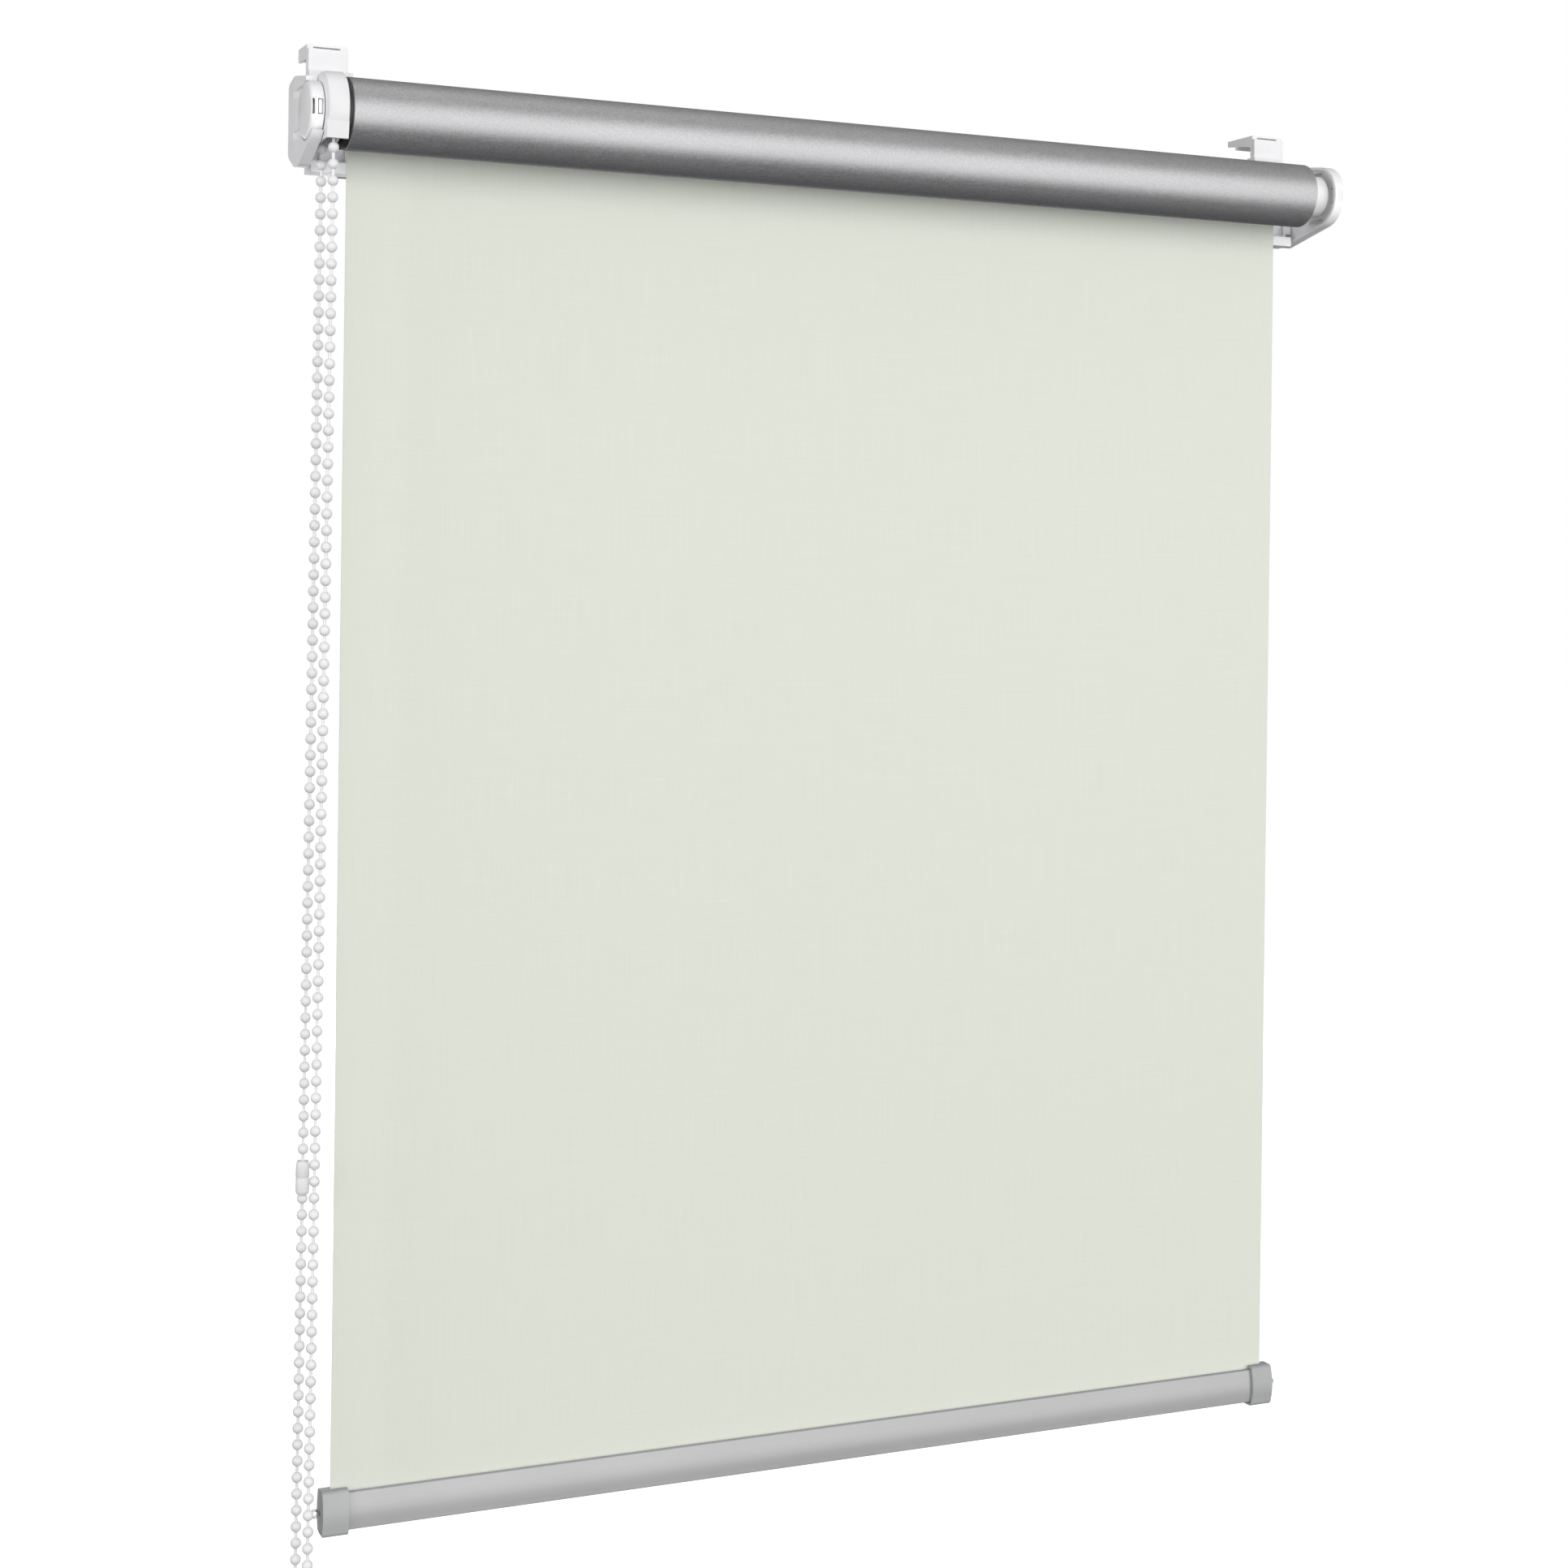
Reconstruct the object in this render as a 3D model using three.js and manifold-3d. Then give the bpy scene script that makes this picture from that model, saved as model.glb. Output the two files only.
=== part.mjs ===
// Clamp-on roller blind with a bead chain, in millimetres.
// X runs along the roller, +Y points to the window, +Z is up.
// The origin lies on the window sash's face, at the height of the roller's axis, midway between the brackets.
// Everything is modelled about the roller's axis inside one group, which is then moved off the sash.

import * as THREE from 'three';
import { mergeVertices } from 'three/addons/utils/BufferGeometryUtils.js';
import Module from 'manifold-3d';

const wasm = await Module();
wasm.setup();

// ---------------------------------------------------------------- driving dimensions

const CLEARANCE = 0.3;            // gap between pieces that touch or slide
const ARC_STEPS = 48;             // facets of a full turn on the larger round pieces

const FABRIC_WIDTH = 410;
const FABRIC_THICKNESS = 0.4;
const ROLL_OVERHANG = 4.3;        // the wound roll is a little wider than the fabric at each end
const ROLL_RADIUS = 13.5;
const HANG_DROP = 507;            // from the roller's axis to the top of the bottom bar
const SHEET_START = 5.5;          // below the axis, where the sheet is clear of the roll

const TUBE_RADIUS = 9;
const TUBE_WALL = 1.2;
const STRIP_WIDTH = 4;
const STRIP_THICKNESS = 0.3;

const AXIS_TO_SASH = 28.2;        // from the roller's axis back to the sash's face
const PAD_THICKNESS = 0.8;
const PAD_OUTER = -3.4;           // outer end of the pad, from the roll's end
const PAD_TOP = -8;
const PLATE_FRONT = 24;           // front face of the bracket's back plate, behind the axis
const PLATE_THICKNESS = 1.4;
const BRACKET_TOP = 19.2;
const BRACKET_BOTTOM = -19.2;
const TONGUE_TOP = 27.6;
const LEDGE_FRONT = 17.5;
const LEDGE_HEIGHT = 3.9;
const BACK_MARGIN = 1.4;          // the back plate runs this far past the hook, towards the middle
const SHOULDER_DEPTH = 2.5;       // how far the lower back plate stands in front of the tongue
const SHOULDER_STEP = 2;          // the right bracket's shoulder is this much narrower than its hook
const POCKET_TOP = 6;             // two shallow recesses in the lower back plate, beside the screw
const POCKET_SKIN = 0.7;
const POCKET_MARGIN = 1.3;
const SCREW_BOSS_HALF = 3.4;      // width left between the two recesses, either side of the screw

const HOOK_WIDTH = 15.2;
const HOOK_OFFSET = 0.4;          // centre of the hook, outwards from the roll's end
const HOOK_SHEET = 1.4;           // thickness of the hook's strap, arms and lip
const HOOK_TOP = 29.3;
const HOOK_BOTTOM = -6;
const HOOK_ARM_HEIGHT = 5;
const HOOK_DEPTH = 13;            // strap to the outside of the lip
const HOOK_FINGER = 19;           // the longer inner arm
const HOOK_FINGER_TIP = 2.4;       // height of the inner arm at its tip
const HOOK_TRAVEL = 5.7;          // how far the screw can raise the hook
const FOOT_HALF = 2;
const FOOT_THICKNESS = 1.3;
const SLIT_WIDTH = 10.3;
const SLIT_HEIGHT = 0.8;
const SLIT_MARGIN = 2.4;          // from the slit to the hook's outer edge

const SCREW_RADIUS = 1.5;
const SCREW_HEAD_RADIUS = 2.6;
const SCREW_HEAD_HEIGHT = 1.8;
const SCREW_TOP = 6;
const SCREW_BEHIND_PLATE = 2.2;   // from the lower plate's front face back to the screw's axis
const SCREW_SLOT = 0.8;
const NUT_WIDTH = 5.5;
const NUT_HEIGHT = 2.4;

// Corners of the side walls behind the axis, as [y, z], and how far back from each the rounding starts.
const SIDE_TOP = 15.5;
const SIDE_TOP_CORNER = [18.5, SIDE_TOP];
const SIDE_BACK_CORNERS = [13.3, -13.3];
const SIDE_LEFT_FOOT = [[11.5, -18.4], [17.5, -18.4]];
const SIDE_ROUNDING = 2;
const SIDE_LEFT_MARGIN = 2;       // from the hook out to the left side wall
const SIDE_LEFT_THICKNESS = 1.4;
const SIDE_LEFT_DEPTH = 4.2;
const SIDE_LEFT_RADIUS = 12.4;
const CAP_RADIUS = 10.7;
const CAP_DEPTH = 4.9;
const CAP_EDGE = [[1.5, 0], [0.7, 0.35], [0.2, 0.9], [0, 1.5]];   // [from the face, in from the rim]
const CAP_SEAM = [1.5, 1.3, 0.2];  // the seam's two sides, from the cap's face, and its depth
const CAP_SLOT = [0.6, 1.4];      // a slot in the cap's edge, from its face
const CAP_SLOT_DEPTH = 2.2;
const CAP_WALL = 0.9;
const CAP_BACK = 0.5;             // behind this the cap sits on the wall instead of round it
const CAP_SEAT = -8.2;
const WINDOW_HEIGHT = 5.6;
const WINDOW = [0.4, 2.3];        // latch window in the cap's rim, outwards from the rim's edge
const TOOTH = [1, 2];             // the latch tooth that shows in it
const NOTCH_HEIGHTS = [8.5, -6.6];
const NOTCH_HALF = 1.5;
const NOTCH_FRONT = 1;
const NOTCH_STEPS = [[19.5, 1], [12, 2.8]];   // [back end, depth] of the notches' two steps

const SIDE_RIGHT_MARGIN = 1.4;     // from the hook out to the right side wall
const SIDE_RIGHT_DEPTH = 4.3;
const SIDE_RIGHT_WALL = 2.6;
const SIDE_RIGHT_RADIUS = 12.9;
const RIM_WALL = 1.2;
const BOSS_RADIUS = 5.5;
const BOSS_INNER = 0.6;           // outwards from the dish's mouth
const BOSS_SKIN = 0.4;            // closes the bush's hole at the outside
const DISH_SLOT_HEIGHT = 10;
const DISH_SLOT_HALF = 0.8;
const DISH_SLOT_REACH = [-0.8, 9];
const DISH_DEPTH = 2;             // of the slots and holes in the dish's floor
const DISH_HOLES = [[-7.6, 3], [-7.6, -3.1]];
const DISH_HOLE_RADIUS = 0.55;
const CATCH = [1.6, 3.3];         // outline of the catch moulded in the rim, outwards from its mouth
const CATCH_LINE = 0.3;

const GUARD_RADIUS = 14.7;
const GUARD_WALL = 1.3;
const GUARD_INNER = 1.7;
const GUARD_CUT = -11.2;          // height of the guard's open underside
const GUARD_SKIRT_TOP = -5;
const GUARD_END_WALL = 0.7;
const GUARD_ROUND = 2.2;          // rounding of the guard's outer edge
const GUARD_EDGE = 0.4;

const BEAD_PITCH = 6;
const BEAD_RADIUS = 2;
const STRAND_RADIUS = 1.7;        // even tube that stands for a strand, between its beads and its string
const CHAIN_POCKETS = 9;
const CHAIN_OFFSET = 6.1;         // plane of the chain, outwards from the roll's end
const CHAIN_DROP = 641.3;           // from the axis down to where the loop's bend begins
const CHAIN_LEAN = 0.0063;        // how far the loop hangs outwards for each millimetre down
const WHEEL_FLANGE_RADIUS = 11.4;
const WHEEL_FLANGE = 0.7;
const WHEEL_GROOVE = 4.6;
const CONNECTOR_LENGTH = 12;
const CONNECTOR_RADIUS = 2.5;
const CONNECTOR_CHAMFER = [0.4, 1.2];
const CONNECTOR_DROP = 388.4;     // from the axis down to the connector's middle

const POST_RADIUS = 4.5;
const POST_HEAD = 1.5;            // the post's head stands out this far round it
const POST_LENGTH = 22;           // how far the post reaches into the tube
const DRIVE_FLANGE_RADIUS = 13.2;
const DRIVE_FLANGE = 1.1;
const PLUG_LENGTH = 25;
const SPRING_WIRE = 0.7;
const SPRING_ROOM = 0.4;          // between the wrap springs and the plug round them
const SPRING_TURNS = 5;
const SPRING_STARTS = [-3, -12];  // outer ends of the two wrap springs on the post
const SMALL_CHAMFER = 0.6;

const IDLE_HUB_RADIUS = 8.8;
const IDLE_HUB = 8.6;
const PIN_RADIUS = 2;
const PIN_COLLAR_RADIUS = 2.7;
const PIN_COLLAR = 1.5;
const PIN_TAIL_RADIUS = 1.1;
const PIN_REACH = 2.9;            // into the right side wall
const PIN_TAIL = 6;
const PIN_SHOULDER = 2.4;         // thickness of the hub's end that keeps the collar in
const IDLE_BORE = 3.1;
const IDLE_FLOOR = 3;
const IDLE_WIRE = 0.5;
const IDLE_TURNS = 8;
const BUSH_WALL = 1.1;

const BAR_HEIGHT = 14;
const BAR_EDGE = 4.8;             // thickness at the top and bottom edges
const BAR_BULGE = 1.2;            // how far each face bows out
const BAR_WALL = 1;
const BAR_SLOT = 1.1;
const BAR_CORNER = 0.8;
const BAR_LONGER = 0.5;           // beyond the fabric's edge, at each end
const HEM_RADIUS = 1.1;
const END_CAP_LENGTH = 9.9;
const END_CAP_OVERHANG = 3.7;     // beyond the fabric's edge
const END_CAP_WALL = 1.2;
const END_CAP_CHAMFER = 2.2;
const EYELET_REACH = 3.8;
const EYELET_RING = 1.3;
const EYELET_WIRE = 0.45;

// ---------------------------------------------------------------- derived places

const HALF_ROLL = FABRIC_WIDTH / 2 + ROLL_OVERHANG;
const SHEET_Y = ROLL_RADIUS - FABRIC_THICKNESS / 2;
const TUBE_BORE = TUBE_RADIUS - TUBE_WALL;
const PLUG_RADIUS = TUBE_BORE - CLEARANCE;
const PLATE_BACK = AXIS_TO_SASH - PAD_THICKNESS;
const LOWER_PLATE_FRONT = PLATE_FRONT - SHOULDER_DEPTH;
const FAR = 60;                   // past the outside of any bracket, for cutting
const PITCH_RADIUS = BEAD_PITCH / (2 * Math.sin(Math.PI / CHAIN_POCKETS));
const BAR_CENTRE_Z = -HANG_DROP - BAR_HEIGHT / 2;
const CHAIN_X = -HALF_ROLL - CHAIN_OFFSET;

// ---------------------------------------------------------------- materials

function paint(color, roughness, metalness = 0) {
  return new THREE.MeshStandardMaterial({ color, roughness, metalness });
}

const whitePlastic = paint(0xf2f2f3, 0.4);
const blackPlastic = paint(0x1b1b1c, 0.5);
const greyPlastic = paint(0xa9abab, 0.45);
const silverFabric = paint(0x9b9c9e, 0.45, 0.3);
const creamFabric = paint(0xe2e5da, 0.85);
const aluminium = paint(0xb9babc, 0.35, 0.7);
const steel = paint(0x8a8c8f, 0.3, 0.9);
const foam = paint(0x8c7b70, 0.9);

// ---------------------------------------------------------------- solids

// A closed solid from a three.js geometry, with its faces pointing out.
function solid(geometry) {
  const bare = geometry.index ? geometry.toNonIndexed() : geometry.clone();
  bare.deleteAttribute('normal');
  bare.deleteAttribute('uv');
  const merged = mergeVertices(bare, 1e-4);
  const corners = merged.attributes.position.array;
  const source = merged.index.array;
  const triangles = [];
  let volume = 0;
  for (let i = 0; i < source.length; i += 3) {
    const [a, b, c] = [source[i], source[i + 1], source[i + 2]];
    if (a === b || b === c || c === a) continue;
    triangles.push(a, b, c);
    const p = new THREE.Vector3().fromArray(corners, 3 * a);
    const q = new THREE.Vector3().fromArray(corners, 3 * b);
    const r = new THREE.Vector3().fromArray(corners, 3 * c);
    volume += p.dot(q.cross(r));
  }
  if (volume < 0) {
    for (let i = 0; i < triangles.length; i += 3) {
      [triangles[i], triangles[i + 1]] = [triangles[i + 1], triangles[i]];
    }
  }
  return new wasm.Manifold(new wasm.Mesh({
    numProp: 3,
    vertProperties: new Float32Array(corners),
    triVerts: new Uint32Array(triangles),
  }));
}

function joined(...pieces) {
  return pieces.reduce((whole, piece) => whole.add(piece));
}

function cut(whole, ...pieces) {
  return pieces.reduce((rest, piece) => rest.subtract(piece), whole);
}

function box(x, y, z) {
  const geometry = new THREE.BoxGeometry(x[1] - x[0], y[1] - y[0], z[1] - z[0]);
  geometry.translate((x[0] + x[1]) / 2, (y[0] + y[1]) / 2, (z[0] + z[1]) / 2);
  return solid(geometry);
}

// A solid of revolution about X. The profile is a closed list of [x, radius].
function turned(profile, steps = ARC_STEPS) {
  const points = profile.map(([x, radius]) => new THREE.Vector2(radius, x));
  const geometry = new THREE.LatheGeometry([...points, points[0].clone()], steps);
  geometry.rotateZ(-Math.PI / 2);
  return solid(geometry);
}

function disc(x, radius, steps = ARC_STEPS) {
  return turned([[x[0], 0], [x[0], radius], [x[1], radius], [x[1], 0]], steps);
}

function ring(x, inner, outer, steps = ARC_STEPS) {
  return turned([[x[0], inner], [x[0], outer], [x[1], outer], [x[1], inner]], steps);
}

// A YZ outline pushed along X.
function slab(outline, x, steps = 20) {
  const depth = x[1] - x[0];
  const geometry = new THREE.ExtrudeGeometry(outline, { depth, bevelEnabled: false, curveSegments: steps });
  const toYZ = new THREE.Matrix4().makeBasis(
    new THREE.Vector3(0, 1, 0),
    new THREE.Vector3(0, 0, 1),
    new THREE.Vector3(1, 0, 0),
  );
  geometry.applyMatrix4(toYZ);
  geometry.translate(x[0], 0, 0);
  return solid(geometry);
}

function polygon(points) {
  return new THREE.Shape(points.map(([y, z]) => new THREE.Vector2(y, z)));
}

function upright(radius, z, place, sides = 24) {
  const geometry = new THREE.CylinderGeometry(radius, radius, z[1] - z[0], sides);
  geometry.rotateX(Math.PI / 2);
  geometry.translate(place[0], place[1], (z[0] + z[1]) / 2);
  return solid(geometry);
}

// A tube of even section along a curve.
function tubeAlong(curve, radius, sides, steps) {
  const section = new THREE.Shape();
  for (let i = 0; i < sides; i += 1) {
    const angle = (2 * Math.PI * i) / sides;
    const [x, y] = [radius * Math.cos(angle), radius * Math.sin(angle)];
    if (i === 0) section.moveTo(x, y);
    else section.lineTo(x, y);
  }
  section.closePath();
  return solid(new THREE.ExtrudeGeometry(section, { steps, extrudePath: curve, bevelEnabled: false }));
}

function node(name, shape, material) {
  const mesh = shape.getMesh();
  const geometry = new THREE.BufferGeometry();
  geometry.setAttribute('position', new THREE.BufferAttribute(new Float32Array(mesh.vertProperties), 3));
  geometry.setIndex(new THREE.BufferAttribute(new Uint32Array(mesh.triVerts), 1));
  geometry.computeVertexNormals();
  const piece = new THREE.Mesh(geometry, material);
  piece.name = name;
  return piece;
}

// ---------------------------------------------------------------- side frames

// Brackets, hooks and plugs are drawn with x measured outwards from the roll's end.
// This carries such a solid to its end of the roll: side is -1 at the left and 1 at the right.
function atEnd(side, shape) {
  return side > 0 ? shape.translate([HALF_ROLL, 0, 0]) : shape.mirror([1, 0, 0]).translate([-HALF_ROLL, 0, 0]);
}

const hookIn = HOOK_OFFSET - HOOK_WIDTH / 2;
const hookOut = HOOK_OFFSET + HOOK_WIDTH / 2;
const backInner = hookIn - BACK_MARGIN;
const leftWallInner = hookOut + SIDE_LEFT_MARGIN;
const leftWallOuter = leftWallInner + SIDE_LEFT_THICKNESS;
const leftOuter = leftWallInner + SIDE_LEFT_DEPTH;
const capFace = leftWallInner + CAP_DEPTH;
const rightInner = hookOut + SIDE_RIGHT_MARGIN;
const rightOuter = rightInner + SIDE_RIGHT_DEPTH;
const guardOuter = leftWallInner - CLEARANCE;
const pinEnd = rightInner + PIN_REACH;
const driveBore = POST_RADIUS + CLEARANCE + SPRING_WIRE + SPRING_ROOM;
const strapFront = PLATE_FRONT + PLATE_THICKNESS + CLEARANCE;
const strapBack = strapFront + HOOK_SHEET;
const screwPlace = [HOOK_OFFSET, LOWER_PLATE_FRONT + SCREW_BEHIND_PLATE];

// Back plate with the raised tongue, the bottom ledge and two shallow recesses. Its wing joins the side wall.
function backPlate(wingOuter, shoulderOuter) {
  const front = LOWER_PLATE_FRONT;
  const ledgeTop = BRACKET_BOTTOM + LEDGE_HEIGHT;
  const depth = [front, PLATE_BACK];
  const [wingTop, wingBottom] = SIDE_BACK_CORNERS;
  const wing = box([backInner, wingOuter], depth, [wingBottom, wingTop]);
  const shoulder = box([backInner, shoulderOuter], depth, [0, BRACKET_TOP]);
  const foot = box([backInner, hookOut], depth, [BRACKET_BOTTOM, 0]);
  const ledge = box([backInner, hookOut], [LEDGE_FRONT, PLATE_BACK], [BRACKET_BOTTOM, ledgeTop]);
  const tongue = box([hookIn, hookOut - CLEARANCE], [PLATE_FRONT, PLATE_FRONT + PLATE_THICKNESS],
    [BRACKET_TOP - PLATE_THICKNESS, TONGUE_TOP]);
  const pocketDepth = [front - 1, PLATE_FRONT - POCKET_SKIN];
  const height = [ledgeTop + 1, POCKET_TOP];
  const innerPocket = box([hookIn + POCKET_MARGIN, screwPlace[0] - SCREW_BOSS_HALF], pocketDepth, height);
  const outerPocket = box([screwPlace[0] + SCREW_BOSS_HALF, hookOut - POCKET_MARGIN], pocketDepth, height);
  return cut(joined(wing, shoulder, foot, ledge, tongue), innerPocket, outerPocket);
}

// Space behind the plate for the hook's strap and for all its travel.
function hookRoom() {
  return box([hookIn - CLEARANCE, hookOut + CLEARANCE], [strapFront - CLEARANCE, FAR],
    [HOOK_BOTTOM - HOOK_TRAVEL, FAR]);
}

// Room for the clamp screw, its head in the ledge and its nut on the hook's foot.
function screwRoom() {
  const headTop = BRACKET_BOTTOM + SCREW_HEAD_HEIGHT + 2 * CLEARANCE;
  const nutSide = NUT_WIDTH / 2 + CLEARANCE;
  const head = upright(SCREW_HEAD_RADIUS + CLEARANCE, [BRACKET_BOTTOM - 1, headTop], screwPlace);
  const shank = upright(SCREW_RADIUS + CLEARANCE, [BRACKET_BOTTOM, SCREW_TOP + 1], screwPlace);
  const nut = box(
    [screwPlace[0] - nutSide, screwPlace[0] + nutSide],
    [screwPlace[1] - nutSide, strapFront],
    [HOOK_BOTTOM - 1, HOOK_BOTTOM + NUT_HEIGHT + FOOT_THICKNESS + HOOK_TRAVEL + 2 * CLEARANCE],
  );
  return joined(head, shank, nut);
}

// Outline of a side wall: round about the axis in front, then through the lower and upper corners behind.
function sideOutline(radius, lower, upper) {
  const start = tangentAngle(radius, upper[upper.length - 1], 1);
  const end = tangentAngle(radius, lower[0], -1);
  const onCircle = (angle) => [radius * Math.cos(angle), radius * Math.sin(angle)];
  const outline = new THREE.Shape();
  outline.absarc(0, 0, radius, start, end, false);
  const corners = [onCircle(end), ...lower, ...upper, onCircle(start)];
  for (let i = 1; i < corners.length - 1; i += 1) {
    outline.lineTo(...towards(corners[i], corners[i - 1], SIDE_ROUNDING));
    outline.quadraticCurveTo(...corners[i], ...towards(corners[i], corners[i + 1], SIDE_ROUNDING));
  }
  outline.closePath();
  return outline;
}

// The point a distance away from one point on the way to another.
function towards([y, z], [otherY, otherZ], distance) {
  const share = distance / Math.hypot(otherY - y, otherZ - z);
  return [y + (otherY - y) * share, z + (otherZ - z) * share];
}

// The same corners moved in from the outline's edge.
function inset(corners, margin) {
  return corners.map(([y, z]) => [Math.min(y, PLATE_BACK - margin), z - Math.sign(z) * margin]);
}

// Angle on a circle about the axis where a straight edge from the point (y, z) touches it.
function tangentAngle(radius, [y, z], side) {
  const toPoint = Math.atan2(z, y);
  const spread = Math.acos(radius / Math.hypot(y, z));
  const angle = toPoint + side * spread;
  return angle < 0 ? angle + 2 * Math.PI : angle;
}

const sideUpper = [[PLATE_BACK, SIDE_BACK_CORNERS[0]], SIDE_TOP_CORNER];
const leftLower = [...SIDE_LEFT_FOOT, [PLATE_BACK, SIDE_BACK_CORNERS[1]]];
const rightLower = [[PLATE_BACK, BRACKET_BOTTOM]];

// In front of the cap's seat the cap's rim reaches down round the wall, so the wall is thinned there to a step.
function leftBracket() {
  const inner = leftWallInner;
  const rim = inner + 0.1;
  const block = slab(sideOutline(SIDE_LEFT_RADIUS, leftLower, sideUpper), [inner, leftOuter]);
  const capRoom = disc([leftWallOuter, FAR], CAP_RADIUS + CLEARANCE);
  const inFront = box([leftWallOuter, FAR], [-FAR, CAP_BACK], [CAP_SEAT, FAR]);
  const wallInFront = box([inner - 1, leftWallOuter + 0.1], [-FAR, CAP_BACK], [CAP_SEAT, FAR]);
  const rimBand = cut(disc([inner - 1, leftWallOuter + 0.1], CAP_RADIUS + CLEARANCE),
    box([inner - 2, FAR], [CAP_BACK, FAR], [-FAR, FAR]));
  const stepRadius = CAP_RADIUS - CAP_WALL - CLEARANCE;
  const step = disc([inner - 2, leftWallOuter + 1], stepRadius);
  const rimRoom = cut(joined(wallInFront, rimBand), step);
  const notches = NOTCH_HEIGHTS.flatMap((z) => NOTCH_STEPS.map(([back, depth]) => box(
    [leftOuter - depth, FAR], [NOTCH_FRONT, back], [z - NOTCH_HALF, z + NOTCH_HALF],
  )));
  const toothHalf = WINDOW_HEIGHT / 2 - CLEARANCE - 0.1;
  const tooth = box([rim + TOOTH[0], rim + TOOTH[1]], [-CAP_RADIUS + 0.2, 1 - stepRadius],
    [-toothHalf, toothHalf]);
  const postHole = disc([inner - 1, FAR], POST_RADIUS + CLEARANCE);
  const plate = cut(backPlate(leftWallOuter, hookOut), hookRoom(), screwRoom());
  const side = joined(cut(block, capRoom, inFront, rimRoom, ...notches), tooth);
  return cut(joined(side, plate), postHole);
}

function rightBracket() {
  const mouth = rightInner;
  const dish = slab(sideOutline(SIDE_RIGHT_RADIUS, rightLower, sideUpper), [mouth, rightOuter]);
  const within = sideOutline(SIDE_RIGHT_RADIUS - RIM_WALL, inset(rightLower, RIM_WALL),
    inset(sideUpper, RIM_WALL));
  const floor = rightOuter - SIDE_RIGHT_WALL;
  const room = slab(within, [mouth - 1, floor]);
  const boss = disc([mouth + BOSS_INNER, rightOuter - BOSS_SKIN / 2], BOSS_RADIUS);
  const bushHole = disc([mouth - 1, rightOuter - BOSS_SKIN], PIN_RADIUS + BUSH_WALL + 2 * CLEARANCE);
  const slots = [-1, 1].map((side) => box([floor - 1, floor + DISH_DEPTH], DISH_SLOT_REACH,
    [side * DISH_SLOT_HEIGHT - DISH_SLOT_HALF, side * DISH_SLOT_HEIGHT + DISH_SLOT_HALF]));
  const holes = DISH_HOLES.map(([y, z]) => disc([floor - 1, floor + DISH_DEPTH], DISH_HOLE_RADIUS, 12)
    .translate([0, y, z]));
  const plate = cut(backPlate(mouth + RIM_WALL, hookOut - SHOULDER_STEP), hookRoom(), screwRoom());
  return cut(joined(cut(dish, room), boss, plate), bushHole, ...slots, ...holes, catchLine());
}

// A fine line round the catch that is moulded in the front of the right rim.
function catchLine() {
  const [from, to] = CATCH.map((u) => rightInner + u);
  const half = WINDOW_HEIGHT / 2;
  const outer = box([from, to], [-FAR, 0], [-half, half]);
  const inner = box([from + CATCH_LINE, to - CATCH_LINE], [-FAR, 0], [CATCH_LINE - half, half - CATCH_LINE]);
  return cut(outer, inner).intersect(ring([from, to], SIDE_RIGHT_RADIUS - CATCH_LINE, SIDE_RIGHT_RADIUS + 1));
}

// ---------------------------------------------------------------- clamp

function clampHook() {
  const lipBack = strapFront + HOOK_DEPTH;
  const armBottom = HOOK_TOP - HOOK_ARM_HEIGHT;
  const strap = box([hookIn, hookOut], [strapFront, strapBack], [HOOK_BOTTOM, HOOK_TOP]);
  const slitOuter = hookOut - SLIT_MARGIN;
  const slit = box([slitOuter - SLIT_WIDTH, slitOuter], [strapFront - 1, strapBack + 1],
    [TONGUE_TOP + 0.1, TONGUE_TOP + 0.1 + SLIT_HEIGHT]);
  const web = box([hookIn, hookOut], [strapFront, lipBack], [HOOK_TOP - 1, HOOK_TOP]);
  const outerArm = box([hookOut - HOOK_SHEET, hookOut], [strapFront, lipBack], [armBottom, HOOK_TOP]);
  const finger = polygon([
    [strapFront, armBottom],
    [strapFront + HOOK_FINGER, HOOK_TOP - HOOK_FINGER_TIP],
    [strapFront + HOOK_FINGER, HOOK_TOP],
    [strapFront, HOOK_TOP],
  ]);
  const innerArm = slab(finger, [hookIn, hookIn + HOOK_SHEET]);
  const lip = box([hookIn, hookOut], [lipBack - HOOK_SHEET, lipBack], [armBottom + 0.4, HOOK_TOP]);
  const nutTop = HOOK_BOTTOM + NUT_HEIGHT + CLEARANCE;
  const nutSide = NUT_WIDTH / 2 + 3 * CLEARANCE;
  const foot = box([screwPlace[0] - FOOT_HALF, screwPlace[0] + FOOT_HALF],
    [screwPlace[1] + NUT_WIDTH / 2 - 1, strapBack], [nutTop, nutTop + FOOT_THICKNESS]);
  const nutGap = box([screwPlace[0] - nutSide, screwPlace[0] + nutSide],
    [screwPlace[1] - nutSide, screwPlace[1] + NUT_WIDTH / 2 + CLEARANCE], [HOOK_BOTTOM - 1, nutTop]);
  return cut(joined(strap, web, outerArm, innerArm, lip, foot), slit, nutGap);
}

function clampScrew() {
  const headTop = BRACKET_BOTTOM + SCREW_HEAD_HEIGHT;
  const head = upright(SCREW_HEAD_RADIUS, [BRACKET_BOTTOM, headTop], screwPlace);
  const shank = upright(SCREW_RADIUS, [headTop - 0.5, SCREW_TOP], screwPlace, 16);
  const slot = box([screwPlace[0] - SCREW_RADIUS, screwPlace[0] + SCREW_RADIUS],
    [screwPlace[1] - SCREW_SLOT / 2, screwPlace[1] + SCREW_SLOT / 2],
    [BRACKET_BOTTOM - 1, BRACKET_BOTTOM + SCREW_SLOT]);
  return cut(joined(head, shank), slot);
}

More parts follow.
